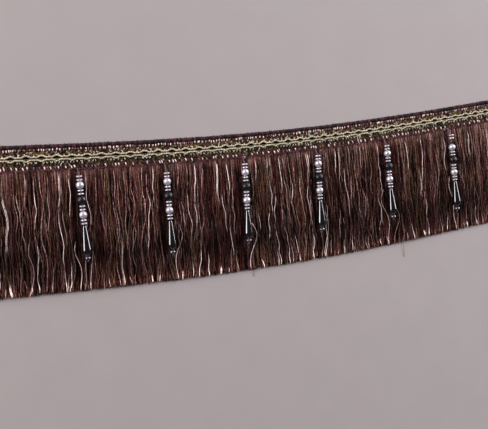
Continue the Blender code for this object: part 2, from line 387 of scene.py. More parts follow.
def yarn_material(name, palette, tones, painted_shade_along, streaks, depth, painted_shade_patches=0.0, **sockets):
    """Dyed yarn. The key in U picks its colour and tone, and V runs from root to tip, along which a grey ramp
    paints shade and light.

    Fine streaks follow the yarn, so many to its length and so deep: random tone that also paints glints and shade
    along its twist. Patches paint shade over whole groups of yarns.
    """
    material, tree, shader = new_material(name, **sockets)
    uv = add_node(tree, "UVMap", {"uv_map": "UVMap"}).outputs["UV"]
    parts = add_node(tree, "SeparateXYZ", inputs={"Vector": uv})
    key, share = parts.outputs["X"], parts.outputs["Y"]
    dyes = [(i / len(palette), colour) for i, colour in enumerate(palette)]
    colours = add_node(tree, "ValToRGB", inputs={"Fac": key}, stops=dyes)
    colours.color_ramp.interpolation = "CONSTANT"
    # The grey ramp along V is painted shade and light along the yarn, from root to tip.
    greys = [(spot, (value, value, value)) for spot, value in painted_shade_along]
    painted_shade_ramp = add_node(tree, "ValToRGB", inputs={"Fac": share}, stops=greys)
    final = add_node(
        tree, "VectorMath", {"operation": "MULTIPLY"}, {0: colours.outputs["Color"], 1: painted_shade_ramp.outputs["Color"]}
    )
    binned = add_node(tree, "Math", {"operation": "MULTIPLY"}, {0: key, 1: float(len(palette))})
    within = add_node(tree, "Math", {"operation": "FRACT"}, {0: binned.outputs[0]})
    tone = add_node(tree, "MapRange", inputs={"Value": within.outputs[0], "To Min": tones[0], "To Max": tones[1]})
    shades = [tone]
    # The streaks are random tone along each yarn, which also stand in for painted glints and painted shade of its
    # twist.
    patterns = [(uv, (STREAK_SHIFT, streaks, 1.0), 0.6, depth)]
    # Painted shade in cloudy patches, by place on the trim.
    if painted_shade_patches:
        patterns.append((add_node(tree, "TexCoord").outputs["Object"], PAINTED_SHADE_PATCHES, 0.5, painted_shade_patches))
    noises = []
    for vector, scale, roughness, strength in patterns:
        spread = add_node(tree, "VectorMath", {"operation": "MULTIPLY"}, {0: vector, 1: scale})
        grain = {"Vector": spread.outputs[0], "Scale": 1.0, "Detail": 2.0, "Roughness": roughness}
        noise = add_node(tree, "TexNoise", inputs=grain)
        noises.append(noise)
        span = {"From Min": 0.3, "From Max": 0.7, "To Min": 1 - strength, "To Max": 1 + strength}
        shades.append(add_node(tree, "MapRange", inputs={"Value": noise.outputs[0], **span}))
    for shade in shades:
        shaded = {0: final.outputs[0], "Scale": shade.outputs[0]}
        final = add_node(tree, "VectorMath", {"operation": "SCALE"}, shaded)
    tree.links.new(final.outputs[0], shader.inputs["Base Color"])
    relief = add_node(tree, "Bump", inputs={"Strength": 0.25, "Distance": 0.0002, "Height": noises[0].outputs[0]})
    tree.links.new(relief.outputs["Normal"], shader.inputs["Normal"])
    return material


# Settings.


class TrimHeadingSettings(bpy.types.PropertyGroup):
    seed: IntProperty(name="Seed", description="Starts the random draws of the braid's stitches", default=7, min=0)
    pick_pitch: FloatProperty(
        name="Pick pitch",
        description="Distance along the heading from one weft pick to the next",
        default=EYE_PITCH / 10,
        unit="LENGTH",
    )
    cloth_high: FloatProperty(
        name="Ground height", description="Top of the ground weave", default=0.00125, unit="LENGTH"
    )
    cord_radius: FloatProperty(
        name="Cord ply radius", description="Radius of one ply of the chain cords", default=0.00043, unit="LENGTH"
    )
    edge: FloatVectorProperty(
        name="Edge yarn", description="Looped edge yarn", subtype="COLOR", default=linear("#44202A"), min=0, max=1
    )
    gold: FloatVectorProperty(
        name="Gold yarn", description="Gold-brown flecks", subtype="COLOR", default=linear("#7D6440"), min=0, max=1
    )
    khaki: FloatVectorProperty(
        name="Chain cord", description="Pale chain cords", subtype="COLOR", default=linear("#C3B8A2"), min=0, max=1
    )
    cream: FloatVectorProperty(
        name="Cream stitches", description="Pale pinkish", subtype="COLOR", default=linear("#D0B9B2"), min=0, max=1
    )


class TrimFringeSettings(bpy.types.PropertyGroup):
    seed: IntProperty(name="Seed", description="Starts the random draws of the fringe yarns", default=23, min=0)
    yarn_radius: FloatProperty(
        name="Yarn radius", description="Radius of one fringe yarn", default=0.00038, unit="LENGTH"
    )
    uneven: FloatProperty(
        name="Cut unevenness", description="How far the cut ends differ in reach", default=0.0016, unit="LENGTH"
    )
    clumping: FloatProperty(
        name="Clumping", description="How far the tips are drawn together into clumps", default=0.34, min=0, max=1
    )
    pale_threads: IntProperty(
        name="Pale threads", description="How many cream threads lie among the yarns", default=88, min=0
    )
    reddish: FloatVectorProperty(
        name="Reddish brown", description="Most yarns", subtype="COLOR", default=linear("#6F4640"), min=0, max=1
    )
    dark: FloatVectorProperty(
        name="Dark brown", description="Shaded yarns", subtype="COLOR", default=linear("#42191A"), min=0, max=1
    )
    taupe: FloatVectorProperty(
        name="Taupe", description="Greyish brown yarns", subtype="COLOR", default=linear("#846A60"), min=0, max=1
    )
    cream: FloatVectorProperty(
        name="Cream", description="Pale pinkish threads", subtype="COLOR", default=linear("#E8D2CC"), min=0, max=1
    )


class TrimBeadSettings(bpy.types.PropertyGroup):
    bore: FloatProperty(name="Bore radius", description="Hole through each bead", default=0.0006, unit="LENGTH")
    disc_radius: FloatProperty(
        name="Disc radius", description="Radius of the silver spacer discs", default=0.0024, unit="LENGTH"
    )
    pearl: FloatVectorProperty(
        name="Pearl", description="Pearl coating", subtype="COLOR", default=linear("#C1BDC6"), min=0, max=1
    )
    silver: FloatVectorProperty(
        name="Silver", description="Spacer discs", subtype="COLOR", default=linear("#CBC5CD"), min=0, max=1
    )


class TrimStageSettings(bpy.types.PropertyGroup):
    floor: FloatVectorProperty(
        name="Floor", description="Pale floor", subtype="COLOR", default=linear("#A19897"), min=0, max=1
    )
    lens: FloatProperty(
        name="Lens", description="Focal length on a 36 mm wide sensor, in millimetres",
        default=59.0, min=10, max=300,
    )
    camera_spot: FloatVectorProperty(
        name="Camera place", description="Where the camera stands",
        default=(-0.2858, 0.0822, 0.6343), subtype="XYZ", unit="LENGTH",
    )
    camera_aim: FloatVectorProperty(
        name="Camera aim", description="The point on the floor in the picture's middle",
        default=(-0.0395, -0.0159, 0.0), subtype="XYZ", unit="LENGTH",
    )
    camera_roll: FloatProperty(
        name="Camera roll", description="How far the picture's upright turns from +Y towards +X on the floor",
        default=math.radians(5.12), subtype="ANGLE",
    )


class TrimSettings(bpy.types.PropertyGroup):
    heading: PointerProperty(type=TrimHeadingSettings)
    fringe: PointerProperty(type=TrimFringeSettings)
    beads: PointerProperty(type=TrimBeadSettings)
    stage: PointerProperty(type=TrimStageSettings)


# Heading.

# The ground cloth: its mesh's columns to each pick and its rows across, how high its back lies, how far in from the
# heading's edges its selvedges lie, and its warps.
CLOTH_COLUMNS_PER_PICK = 3
CLOTH_ROWS = 28
CLOTH_UNDER = 0.00012
CLOTH_SELVEDGE = 0.0005
WARPS = 14

# The relief of its face: the knuckles of the weave, the hollow in each eye of the chain, and the sunk selvedges.
KNUCKLE_HIGH = 0.00010
EYE_HOLLOW = 0.00050
EYE_MIDDLE = 0.0001
EYE_WIDTH = 0.0010
SELVEDGE_SINK = 0.00035
SELVEDGE_FROM = 0.0098
SELVEDGE_SLOPE = 0.0006

# The ground's UV map is in centimetres. Its picks are drawn 0.58 mm and its warps 0.78 mm apart, coarser than the
# real yarns so that they show.
MAP_SCALE = 100
PICK_ON_MAP = 0.0583
WARP_ON_MAP = 0.0779

# The loops of the edges, from where they dip into the cloth to where they turn, at each side.
EDGE_IN = 0.0069
EDGE_IN_LOWER = EDGE_IN + 0.0015
EDGE_OUT = 0.01060
LOOPS_PER_EYE = 7
LOOP_R = 0.00041

# The stitches: yarn radii, how far apart the pale ticks swell and fade, and points for each eye of a chain cord.
TICK_R = 0.00034
TOOTH_R = 0.00030
BAR_R = 0.00032
TICK_WAVES = (0.0117, 0.019, 0.043)
CORD_STEPS_PER_EYE = 30

# Where the chain's cords run across the heading: at rest, how far over an eye, and how far out at a knot.
UPPER_CORD = (0.00088, 0.00122, 0.00050)
LOWER_CORD = (-0.00115, -0.00120, -0.00030)
CORD_HIGH = 0.00165
CORD_RISE = 0.00012

# The lay of the plied cords, from one turn of a ply to the next.
CHAIN_LAY = 0.0021
DRAB_LAY = 0.0019


def cloth_relief(along, across, pick, high):
    """Top of the ground weave: knuckles that swap over from one warp row to the next, and the eyes' hollows."""
    row = np.round(across / (HEADING_WIDTH / WARPS))
    knuckle = KNUCKLE_HIGH * np.sin(math.pi * along / pick + math.pi * row)
    hollow = EYE_HOLLOW * np.exp(-((across - EYE_MIDDLE) ** 2) / EYE_WIDTH**2) * eye_share(along)
    edge = SELVEDGE_SINK * np.clip((np.abs(across) - SELVEDGE_FROM) / SELVEDGE_SLOPE, 0, 1)
    return high + knuckle - hollow - edge


def ground_cloth(settings):
    """The woven ground strip as one closed sheet, with its real weave's knuckles in its face."""
    half = HEADING_WIDTH / 2 - CLOTH_SELVEDGE
    columns = round(LENGTH / settings.pick_pitch) * CLOTH_COLUMNS_PER_PICK
    along = np.linspace(-LENGTH / 2, LENGTH / 2, columns + 1)[:, None]
    across = np.linspace(half, -half, CLOTH_ROWS + 1)[None]
    top = place(along, across, cloth_relief(along, across, settings.pick_pitch, settings.cloth_high))
    under = place(along, across[:, [0, -1]], CLOTH_UNDER)
    points = np.concatenate([top, under[:, ::-1]], axis=1)
    rows = points.shape[1]
    index = np.arange((columns + 1) * rows).reshape(columns + 1, rows)
    after = np.roll(index, -1, axis=1)
    walls = np.stack([index[:-1], after[:-1], after[1:], index[1:]], axis=-1).reshape(-1, 4)
    ends = np.stack([index[0, ::-1], index[-1]])
    flat_across = np.concatenate([across[0], [-half, half]])
    flat = np.stack(np.broadcast_arrays(along, flat_across[None]), axis=-1).reshape(-1, 2) * MAP_SCALE
    corners = np.concatenate([walls.ravel(), ends.ravel()])
    material = ground_material(settings)
    return mesh_piece("ground_cloth", points.reshape(-1, 3), [walls, ends], flat[corners], material)


def ground_material(settings):
    """Woven viscose ground, dull and ribbed: it shows as dark brown picks between the raised stitches."""
    material, tree, shader = new_material("woven_viscose_ground", Roughness=0.75, Specular_IOR_Level=0.15)
    uv = add_node(tree, "UVMap", {"uv_map": "UVMap"}).outputs["UV"]
    parts = add_node(tree, "SeparateXYZ", inputs={"Vector": uv})
    half = MAP_SCALE * HEADING_WIDTH / 2
    level = add_node(tree, "MapRange", inputs={"Value": parts.outputs["Y"], "From Min": -half, "From Max": half})
    stops = [
        (0.0, settings.edge),
        (0.16, linear("#3A2220")),
        (0.24, linear("#231A10")),
        (0.40, linear("#1E190D")),
        # The nearly black band along the middle is painted shade in the chain's eyes, between the cords.
        (0.45, linear("#070400")),
        (0.58, linear("#070400")),
        (0.62, linear("#46351F")),
        (0.72, linear("#462C1C")),
        (0.84, linear("#351F20")),
        (1.0, settings.edge),
    ]
    bands = add_node(tree, "ValToRGB", inputs={"Fac": level.outputs[0]}, stops=stops)
    weave = (1 / PICK_ON_MAP, 1 / WARP_ON_MAP, 1.0)
    picks = add_node(tree, "VectorMath", {"operation": "MULTIPLY"}, {0: uv, 1: weave})
    checks = add_node(tree, "TexNoise", inputs={"Vector": picks.outputs[0], "Scale": 1.6, "Detail": 1.0})
    span = {"From Min": 0.3, "From Max": 0.7, "To Min": 0.5, "To Max": 1.6}
    shade = add_node(tree, "MapRange", inputs={"Value": checks.outputs[0], **span})
    final = add_node(
        tree, "VectorMath", {"operation": "SCALE"}, {0: bands.outputs["Color"], "Scale": shade.outputs[0]}
    )
    tree.links.new(final.outputs[0], shader.inputs["Base Color"])
    relief = add_node(tree, "Bump", inputs={"Strength": 0.5, "Distance": 0.0002, "Height": checks.outputs[0]})
    tree.links.new(relief.outputs["Normal"], shader.inputs["Normal"])
    return material


def stitch_palette(settings):
    """The braid's dyed yarns, in the order of the names below."""
    return (
        linear("#170508"),
        tuple(settings.edge),
        linear("#5C3226"),
        tuple(settings.gold),
        linear("#584C2C"),
        linear("#8C746C"),
        tuple(settings.khaki),
        tuple(settings.cream),
    )


NIGHT, EDGE, BROWN, GOLD, OLIVE, TAUPE, KHAKI, CREAM = range(8)
FLECKS = (NIGHT, BROWN, GOLD, OLIVE, KHAKI)


def stitch_material(name, settings):
    """Twisted viscose, half glossy, with painted shade: each stitch is darker at its ends, where it dips into the
    cloth, than along its crown.
    """
    crown = ((0.0, 0.55), (0.25, 1.0), (0.75, 1.0), (1.0, 0.55))
    return yarn_material(
        name, stitch_palette(settings), tones=(0.65, 1.3), painted_shade_along=crown,
        streaks=3.0, depth=0.38, Roughness=0.5, Specular_IOR_Level=0.2,
    )


def edge_loops(name, settings, side, draw, material):
    """Weft loops that turn round the heading's edge, two legs to a pick."""
    pitch = EYE_PITCH / LOOPS_PER_EYE
    count = round(LENGTH / pitch)
    along = -LENGTH / 2 + (np.arange(count) + 0.5) * pitch
    bend = np.linspace(-1, 1, 13)
    leg = pitch / 4 * np.sign(bend) * np.minimum(1, np.abs(bend) * 3) ** 0.7
    depth = np.abs(bend)
    inner = EDGE_IN if side > 0 else EDGE_IN_LOWER
    outer = EDGE_OUT + 0.00040 * draw.uniform(-1, 1, count)
    across = outer[:, None] - (outer[:, None] - inner) * depth**1.15
    crest = RIB_TOP - 0.00040 + 0.00025 * draw.uniform(-1, 1, count)
    high = 0.0008 + (crest[:, None] - 0.0008) * np.sin(math.pi * np.clip(0.10 + 0.80 * depth, 0, 1)) ** 0.8
    wander = 0.00020 * draw.uniform(-1, 1, count)
    paths = place(along[:, None] + leg[None] + wander[:, None], side * across, high)
    chances = [0.54, 0.43, 0.03, 0.0] if side > 0 else [0.20, 0.52, 0.26, 0.02]
    colour = draw.choice([NIGHT, EDGE, BROWN, TAUPE], count, p=chances)
    keys = tone_key(colour, draw.uniform(0, 1, count), stitch_palette(settings))
    return yarn_piece(name, paths, LOOP_R, keys, 5, material)


def tick_strength(along, draw):
    """How bright the pale stitches are from place to place, from 0 to 1."""
    total = sum(np.sin(2 * math.pi * along / wave + draw.uniform(0, 2 * math.pi)) for wave in TICK_WAVES)
    return np.clip(0.5 + 0.28 * total + 0.35 * draw.uniform(-1, 1, along.shape), 0, 1)


def tick_row(settings, draw, across, reach, slant, every, thick):
    """A row of stitches, one to a pick: every few picks a pale one, bright or faint, and brown ones between."""
    count = round(LENGTH / settings.pick_pitch)
    along = -LENGTH / 2 + (np.arange(count) + 0.5) * settings.pick_pitch
    along = along + 0.00035 * draw.uniform(-1, 1, count)
    bright = tick_strength(along, draw)
    turns = np.cumsum(draw.choice(every, count))
    pale = np.isin(np.arange(count), turns)
    shown = across + np.where(pale, 0.00040, 0.0) * draw.uniform(-1, 1, count)
    run = reach * np.where(pale, draw.uniform(0.8, 1.15, count), 0.9)
    radius = np.where(pale, thick * (0.75 + 0.25 * bright), TICK_R)
    lift = 0.0005 + 0.00015 * draw.uniform(-1, 1, count)
    lean = slant + 0.15 * draw.uniform(-1, 1, count)
    paths, radii = stitches(along, shown, run, lean, settings.cloth_high + 0.0001, lift[:, None], radius)
    other = draw.choice([EDGE, BROWN, BROWN, NIGHT], count)
    colour = np.where(pale, np.where(bright > 0.38, CREAM, TAUPE), other)
    tone = np.where(pale, 0.25 + 0.75 * bright, draw.uniform(0, 1, count))
    return paths, radii, tone_key(colour, tone, stitch_palette(settings))


def fleck_row(settings, draw, across, slant, chances):
    """A row of small slanted stitches, one to a pick, whose colours come by the chances of each of FLECKS."""
    count = round(LENGTH / settings.pick_pitch)
    along = -LENGTH / 2 + (np.arange(count) + 0.5 + 0.25 * np.sign(slant)) * settings.pick_pitch
    lift = 0.00045 + 0.00012 * draw.uniform(-1, 1, count)
    run = 0.0016 + 0.0002 * draw.uniform(-1, 1, count)
    paths, radii = stitches(along, across, run, slant, settings.cloth_high + 0.00005, lift[:, None], TICK_R)
    colour = draw.choice(FLECKS, count, p=chances)
    return paths, radii, tone_key(colour, draw.uniform(0, 1, count), stitch_palette(settings))


def tooth_row(settings, draw):
    """Pale V stitches that hang from the lower chain cord, four to an eye."""
    pitch = EYE_PITCH / 4
    count = round(LENGTH / pitch)
    middle = -LENGTH / 2 + (np.arange(count) + 0.5) * pitch + 0.0002 * draw.uniform(-1, 1, count)
    tone = 0.3 + 0.5 * draw.uniform(-1, 1, count)
    groups = []
    for lean in (-1, 1):
        along = middle + lean * 0.00042
        paths, radii = stitches(
            along, -0.0034, 0.0018, lean * 0.45, settings.cloth_high + 0.0001, 0.00055, TOOTH_R
        )
        colour = draw.choice([KHAKI, OLIVE, NIGHT], count, p=[0.56, 0.26, 0.18])
        groups.append((paths, radii, tone_key(colour, tone, stitch_palette(settings))))
    return groups


def picot_row(settings, draw):
    """A small pale stitch that stands up from the upper cord wherever the two cords meet."""
    count = DROPS * EYES_PER_DROP
    along = -LENGTH / 2 + np.arange(count) * EYE_PITCH + 0.0004 * draw.uniform(-1, 1, count)
    run = 0.0015 + 0.0006 * draw.uniform(-1, 1, count)
    slant = 0.5 * draw.uniform(-1, 1, count)
    paths, radii = stitches(along, 0.0021, run, slant, settings.cloth_high + 0.0002, 0.0005, TOOTH_R)
    keys = tone_key(np.full(count, KHAKI), draw.uniform(0.2, 1, count), stitch_palette(settings))
    return paths, radii, keys


def bar_row(settings, draw):
    """Short dull stitches that fill the slit between two eyes, where the cords run side by side."""
    spots = np.array([-0.22, -0.12, 0.0, 0.12, 0.22])
    knots = np.arange(1, DROPS * EYES_PER_DROP)
    along = -LENGTH / 2 + (knots[:, None] + spots[None]).ravel() * EYE_PITCH
    count = len(along)
    paths, radii = stitches(along, -0.00015, 0.0012, 0.3, settings.cloth_high - 0.0002, 0.0003, BAR_R)
    colour = draw.choice([OLIVE, BROWN, NIGHT], count, p=[0.5, 0.2, 0.3])
    return paths, radii, tone_key(colour, draw.uniform(0, 1, count), stitch_palette(settings))


def join_rows(rows):
    """The paths, radii and keys of several rows as one of each."""
    return tuple(np.concatenate(parts) for parts in zip(*rows))


def chain_path(side, draw):
    """The middle line of a chain cord: a hump over each eye above, a shallower dip below, and knots between."""
    steps = DROPS * EYES_PER_DROP * CORD_STEPS_PER_EYE
    along = np.linspace(-LENGTH / 2, LENGTH / 2, steps + 1)
    turn = (along + LENGTH / 2) / EYE_PITCH % 1 - 0.5
    size = np.repeat(draw.uniform(0.85, 1.15, DROPS * EYES_PER_DROP), CORD_STEPS_PER_EYE)
    size = np.append(size, size[-1])
    hump = size * np.clip(1.25 - np.abs(turn) * 4.2, 0, 1) ** 0.8
    knot = np.clip(1 - np.abs(np.abs(turn) - 0.5) / 0.07, 0, 1)
    dip = size * np.clip(1 - np.abs(turn) * 3.6, 0, 1)
    rest, swing, out = UPPER_CORD if side > 0 else LOWER_CORD
    across = rest + swing * (hump if side > 0 else dip) + out * knot
    return place(along, across, CORD_HIGH + CORD_RISE * hump)


class TRIM_OT_ground_cloth(bpy.types.Operator):
    """Weave the heading's ground strip"""

    bl_idname = "trim.ground_cloth"
    bl_label = "Ground Cloth"

    def execute(self, context):
        ride(ground_cloth(context.scene.trim.heading), "braid", "heading")
        return {"FINISHED"}


class TRIM_OT_edge_loops(bpy.types.Operator):
    """Turn the weft loops round both edges of the heading"""

    bl_idname = "trim.edge_loops"
    bl_label = "Edge Loops"

    def execute(self, context):
        settings = context.scene.trim.heading
        draw = np.random.default_rng(settings.seed)
        material = stitch_material("viscose_weft_loops", settings)
        for name, side in (("edge_loops_upper", 1), ("edge_loops_lower", -1)):
            ride(edge_loops(name, settings, side, draw, material), "braid", "heading")
        return {"FINISHED"}


class TRIM_OT_braid_stitches(bpy.types.Operator):
    """Lay the stitch rows of the heading's face"""

    bl_idname = "trim.braid_stitches"
    bl_label = "Braid Stitches"

    def execute(self, context):
        settings = context.scene.trim.heading
        draw = np.random.default_rng(settings.seed + 1)
        material = stitch_material("viscose_face_stitches", settings)
        rows = [
            tick_row(settings, draw, across=0.00645, reach=0.0021, slant=0.0, every=(1, 2, 2, 3), thick=0.00050),
            fleck_row(settings, draw, across=0.0044, slant=0.8, chances=(0.32, 0.30, 0.20, 0.08, 0.10)),
            fleck_row(settings, draw, across=0.0031, slant=-0.8, chances=(0.28, 0.20, 0.26, 0.08, 0.18)),
            picot_row(settings, draw),
            bar_row(settings, draw),
            *tooth_row(settings, draw),
            fleck_row(settings, draw, across=-0.0048, slant=0.7, chances=(0.50, 0.12, 0.06, 0.28, 0.04)),
            fleck_row(settings, draw, across=-0.0060, slant=-0.7, chances=(0.44, 0.28, 0.02, 0.22, 0.04)),
            tick_row(settings, draw, across=-0.0075, reach=0.0027, slant=-0.28, every=(2, 3, 4, 5), thick=0.00056),
        ]
        paths, radii, keys = join_rows(rows)
        ride(yarn_piece("braid_stitches", paths, radii, keys, 5, material), "braid", "heading")
        return {"FINISHED"}


class TRIM_OT_chain_cords(bpy.types.Operator):
    """Twist the two pale cords that open and close round the eyes"""

    bl_idname = "trim.chain_cords"
    bl_label = "Chain Cords"

    def execute(self, context):
        settings = context.scene.trim.heading
        draw = np.random.default_rng(settings.seed + 2)
        # Twisted rayon cord: two plies, pale khaki with a soft gloss; the second ply's darker khaki and the streaks
        # are painted shade for the valleys between the plies.
        material = yarn_material(
            "twisted_rayon_cord", (tuple(settings.khaki), linear("#A0947A")), tones=(0.75, 1.15), painted_shade_along=EVEN,
            streaks=480.0, depth=0.5, Roughness=0.5, Specular_IOR_Level=0.25,
        )
        for name, side in (("chain_cord_upper", 1), ("chain_cord_lower", -1)):
            radius = settings.cord_radius * (1.0 if side > 0 else 0.9)
            paths = plied(chain_path(side, draw), 2, radius * 0.85, CHAIN_LAY, draw.uniform(0, 6))
            keys = tone_key(np.array([0, 1]), np.array([0.95, 0.75]), (0, 1))
            ride(yarn_piece(name, paths, radius, keys, 5, material), "braid", "heading")
        # Dull rayon thread laid straight along the eyes' lower side, drab beside the cords.
        dull = yarn_material(
            "drab_rayon_thread", (linear("#7D7158"), linear("#5C5140")), tones=(0.7, 1.1), painted_shade_along=EVEN,
            streaks=400.0, depth=0.6, Roughness=0.55, Specular_IOR_Level=0.2,
        )
        along = np.linspace(-LENGTH / 2, LENGTH / 2, DROPS * EYES_PER_DROP * 12 + 1)
        paths = plied(place(along, -0.00078, 0.00150), 2, 0.00024, DRAB_LAY)
        keys = tone_key(np.array([0, 1]), np.array([0.8, 0.8]), (0, 1))
        ride(yarn_piece("chain_thread", paths, 0.00028, keys, 4, dull), "braid", "heading")
        return {"FINISHED"}


# Fringe.

# Where the yarns start under the heading, and where the strip that holds them ends.
FRINGE_START = -0.0100
FRINGE_LOW = -HEADING_WIDTH / 2 - GAP - STRIP_WIDTH

# Points along the yarns beside the drops and along the pale threads, and the radii of the pale and stray threads.
BESIDE_STEPS = 15
PALE_STEPS = 41
PALE_R = 0.00021
STRAY_R = 0.00016

# How unlike a yarn's neighbours its slant and its height are.
YARN_SLANT = 0.0011
LEVEL_SPREAD = 0.00035

# A yarn's waves: sideways by their length and size, and up and down by their size and how many turns each makes.
SIDE_WAVES = ((0.075, 0.00075), (0.034, 0.00050), (0.017, 0.00024))
RISING_WAVES = ((0.00038, 1.4), (0.00028, 3.6))

# Two threads were cut longer: which drop each hangs beside, how far beside it, and how far it sticks out.
STRAY_ROWS = ((5, 0.0100, 0.0155), (3, 0.0040, 0.0075))

# One row for each layer of yarns, from the back: how many, points along each, radius as a share of the yarn's,
# height of its middle, how far it wanders, and the chances of each colour of the palette.
LAYER_COLUMNS = ("name", "count", "steps", "radius", "high", "wander", "chances")
LAYER_ROWS = (
    # The back layer takes almost only the nearly black colour: painted shade that shows through the gaps between
    # the yarns above.
    ("fringe_yarns_back", 640, 9, 1.60, 0.00065, 0.5, (0.95, 0.05, 0.00, 0.00, 0.00, 0.00)),
    ("fringe_yarns_middle", 1300, 13, 1.05, 0.00125, 0.9, (0.46, 0.36, 0.13, 0.03, 0.02, 0.00)),
    ("fringe_yarns_front", 1500, 17, 0.95, 0.00185, 1.2, (0.16, 0.34, 0.30, 0.09, 0.08, 0.03)),
    ("fringe_yarns_top", 1150, 21, 0.90, 0.00240, 1.6, (0.10, 0.22, 0.34, 0.12, 0.15, 0.07)),
)


def fringe_palette(settings):
    """The fringe's yarn colours, from nearly black, which is painted shade, to pale taupe."""
    return (
        linear("#0E0302"),
        tuple(settings.dark),
        tuple(settings.reddish),
        linear("#604A33"),
        tuple(settings.taupe),
        linear("#AC867C"),
    )


def drop_distance(along):
    """How far places along the trim lie from the nearest drop."""
    nearest = np.full(np.shape(along), 1.0)
    for number in range(DROPS):
        nearest = np.minimum(nearest, np.abs(along - drop_along(number)))
    return nearest


def ceiling(along, across):
    """The most height that a yarn may reach: less beside a drop, whose beads press the fringe down."""
    share = np.clip((drop_distance(along) - 0.0030) / 0.006, 0, 1)
    below = np.clip((-HEADING_WIDTH / 2 - 0.070 - across) / 0.008, 0, 1)
    free = np.maximum(share * share * (3 - 2 * share), below)
    return 0.0019 + 0.0016 * free


def clump_centres(draw):
    """Irregular places along the trim that the tips are drawn to."""
    gaps = draw.uniform(0.0028, 0.0085, 140)
    return -LENGTH / 2 - 0.01 + np.cumsum(gaps)


def hanging_paths(along, steps, high, wander, uneven, clumping, radius, draw):
    """Paths of yarns that hang from the heading: drifting together, drawn into clumps, each a little wavy."""
    count = len(along)
    share = np.linspace(0, 1, steps)[None]
    tip = -FRINGE_REACH + uneven * draw.uniform(-1, 1, count) ** 3
    across = FRINGE_START + (tip[:, None] - FRINGE_START) * share
    solid_share = np.clip((across - FRINGE_LOW) / (-FRINGE_REACH - FRINGE_LOW), 0, 1.2)
    drift = sway(along[:, None], solid_share)
    centres = clump_centres(draw)
    nearest = centres[np.abs(along[:, None] - centres[None]).argmin(axis=1)]
    strength = clumping * draw.uniform(0.4, 1.3, count)
    pull = (nearest - along)[:, None] * strength[:, None] * solid_share**1.3
    waves = np.zeros_like(across)
    for length, size in SIDE_WAVES:
        phase = draw.uniform(0, 2 * math.pi, count)[:, None]
        each = length * draw.uniform(0.7, 1.4, count)[:, None]
        amount = size * draw.uniform(0.3, 1.5, count)[:, None]
        waves += amount * np.sin(phase - 2 * math.pi * across / each)
    lean = YARN_SLANT * draw.normal(0, 1, count)[:, None] * solid_share
    line = along[:, None] + drift + pull + wander * (waves * np.minimum(1, 4 * solid_share) + lean)
    level = high + LEVEL_SPREAD * draw.normal(0, 1, count)[:, None]
    for waviness, turns in RISING_WAVES:
        phase = draw.uniform(0, 2 * math.pi, count)[:, None]
        turning = turns * draw.uniform(0.6, 1.5, count)[:, None]
        level = level + waviness * np.sin(phase + 2 * math.pi * share * turning)
    root = np.clip(share * 9, 0, 1)
    level = level * root + (1 - root) * np.clip(level, 0.0008, 0.0017)
    level = np.clip(level * (1 - 0.35 * share**3), radius * 1.05, ceiling(line, across) - radius)
    return place(line, across, level)


def fringe_material(name, settings):
    """Cut viscose yarn, softly glossy, with painted shade along it: lighter near the heading, darkest low down,
    paler at the cut ends.
    """
    # Tones along the yarn from root to tip: painted shade, deepest at about three quarters of its length.
    shades = (
        (0.0, 0.95), (0.12, 1.1), (0.3, 0.90), (0.5, 0.79), (0.72, 0.46), (0.86, 0.57), (0.94, 0.80), (1.0, 2.5),
    )
    return yarn_material(
        name, fringe_palette(settings), tones=(0.55, 1.45), painted_shade_along=shades,
        streaks=64.0, depth=0.88, painted_shade_patches=0.4, Roughness=0.5, Specular_IOR_Level=0.12,
    )


class TRIM_OT_fringe_yarns(bpy.types.Operator):
    """Hang the brush fringe's yarns, layer by layer"""

    bl_idname = "trim.fringe_yarns"
    bl_label = "Fringe Yarns"

    def execute(self, context):
        settings = context.scene.trim.fringe
        palette = fringe_palette(settings)
        material = fringe_material("cut_viscose_yarn", settings)
        for number, values in enumerate(LAYER_ROWS):
            row = dict(zip(LAYER_COLUMNS, values))
            draw = np.random.default_rng(settings.seed + number)
            count = row["count"]
            pitch = LENGTH / count
            along = -LENGTH / 2 + (np.arange(count) + 0.5) * pitch + 0.6 * pitch * draw.uniform(-1, 1, count)
            radius = settings.yarn_radius * row["radius"]
            paths = hanging_paths(
                along, row["steps"], row["high"], row["wander"], settings.uneven, settings.clumping, radius, draw
            )
            thickness = radius * draw.uniform(0.8, 1.15, count)[:, None] * np.ones(row["steps"])
            thickness[:, -1] *= 0.6
            colour = draw.choice(len(palette), count, p=row["chances"])
            # Painted shadow of the drops: yarns near a drop more often take the nearly black or the dark brown
            # colour.
            pressed = np.clip(1.7 - drop_distance(along) / 0.0038, 0, 0.3)
            colour = np.where(draw.uniform(0, 1, count) < pressed, draw.choice(2, count), colour)
            keys = tone_key(colour, draw.uniform(0, 1, count), palette)
            ride(yarn_piece(row["name"], paths, thickness, keys, 3, material), "yarn", "fringe")
        self.drop_shadow_yarns(settings, material, palette)
        return {"FINISHED"}

    def drop_shadow_yarns(self, settings, material, palette):
        """Nearly black yarns that come up beside each drop, where its beads part the fringe, and go under again
        below: painted shadow of the drop.
        """
        draw = np.random.default_rng(settings.seed + 20)
        beside = np.linspace(-0.0058, 0.0058, 19)
        along = np.concatenate([drop_along(number) + beside for number in range(DROPS)])
        along = along + 0.0004 * draw.normal(0, 1, len(along))
        radius = 0.9 * settings.yarn_radius
        clumping = 0.2 * settings.clumping
        paths = hanging_paths(along, BESIDE_STEPS, 0.0016, 0.7, settings.uneven, clumping, radius, draw)
        share = np.linspace(0, 1, BESIDE_STEPS)[None]
        top = ceiling(along[:, None], FRINGE_START + (-FRINGE_REACH - FRINGE_START) * share) + 0.0002 - radius
        foot = draw.uniform(0.62, 0.80, len(along))[:, None]
        up = np.clip((share - 0.02) / 0.09, 0, 1) * np.clip((foot - share) / 0.08, 0, 1)
        paths[:, :, 2] = 0.0010 + (top - 0.0010) * up
        # Every one takes the nearly black colour: painted shadow beside the drop.
        keys = tone_key(np.zeros(len(along), int), draw.uniform(0, 1, len(along)), palette)
        ride(yarn_piece("fringe_yarns_drop_shadow", paths, radius, keys, 3, material), "yarn", "fringe")


